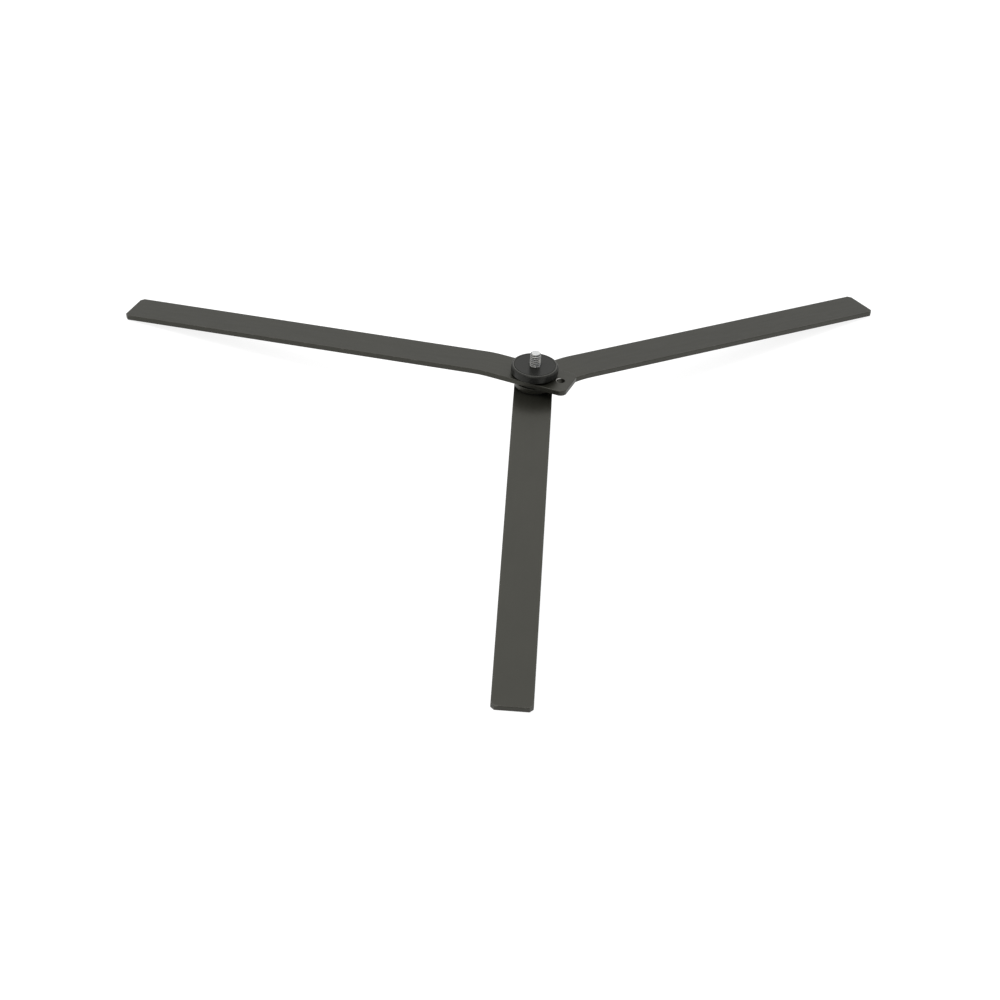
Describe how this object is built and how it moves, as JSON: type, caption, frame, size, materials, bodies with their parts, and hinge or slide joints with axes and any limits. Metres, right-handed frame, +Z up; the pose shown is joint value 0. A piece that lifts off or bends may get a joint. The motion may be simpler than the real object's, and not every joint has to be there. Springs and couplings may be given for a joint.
{
  "type": "tripod hunting stand",
  "caption": "Low folding tripod of flat steel legs that pivot on one bolt under a round clamp disc, with a threaded stud on top to carry a small device.",
  "frame": {"origin": "centre of the clamp disc's top face on the bolt's axis, where the stud comes out and a device sits", "axes": "+Z up from the floor, the bottom leg runs out along -Y; the bolt leans about 1 degree from +Z because the alike legs lie one above another"},
  "size_m": [0.4581, 0.4346, 0.0501],
  "materials": {
    "painted_leg": "satin dark olive grey paint",
    "painted_disc": "semi-gloss black grey paint",
    "zinc_bolt": "bright zinc plate",
    "zinc_washer": "zinc plate",
    "nylon_spacer": "black nylon"
  },
  "bodies": {
    "base": {"bottom_leg": "painted_leg", "pivot_bolt": "zinc_bolt", "lower_spacer": "nylon_spacer"},
    "middle": {"middle_leg": "painted_leg", "upper_spacer": "nylon_spacer"},
    "top": {"top_leg": "painted_leg"},
    "washer": {"pressure_washer": "zinc_washer"},
    "disc": {"clamp_disc": "painted_disc"}
  },
  "joints": [
    {"name": "middle_leg_swing", "type": "hinge", "parent": "base", "child": "middle", "pos_m": [0, 0, 0], "axis": [-0.0117, 0.0152, 0.9998], "range_deg": [-129.1, 120.75]},
    {"name": "top_leg_swing", "type": "hinge", "parent": "base", "child": "top", "pos_m": [0, 0, 0], "axis": [0.0117, -0.0152, -0.9998], "range_deg": [-110.15, 120.75]},
    {"name": "washer_lift", "type": "slide", "parent": "base", "child": "washer", "axis": [-0.0117, 0.0152, 0.9998], "range_m": [0, 0.00762]},
    {"name": "disc_turn", "type": "hinge", "parent": "washer", "child": "disc", "pos_m": [0, 0, 0], "axis": [-0.0117, 0.0152, 0.9998], "range_deg": [0, 2160]}
  ],
  "couplings": [
    {"joint": "washer_lift", "follows": "disc_turn", "m_per_rad": 0.00020213}
  ]
}
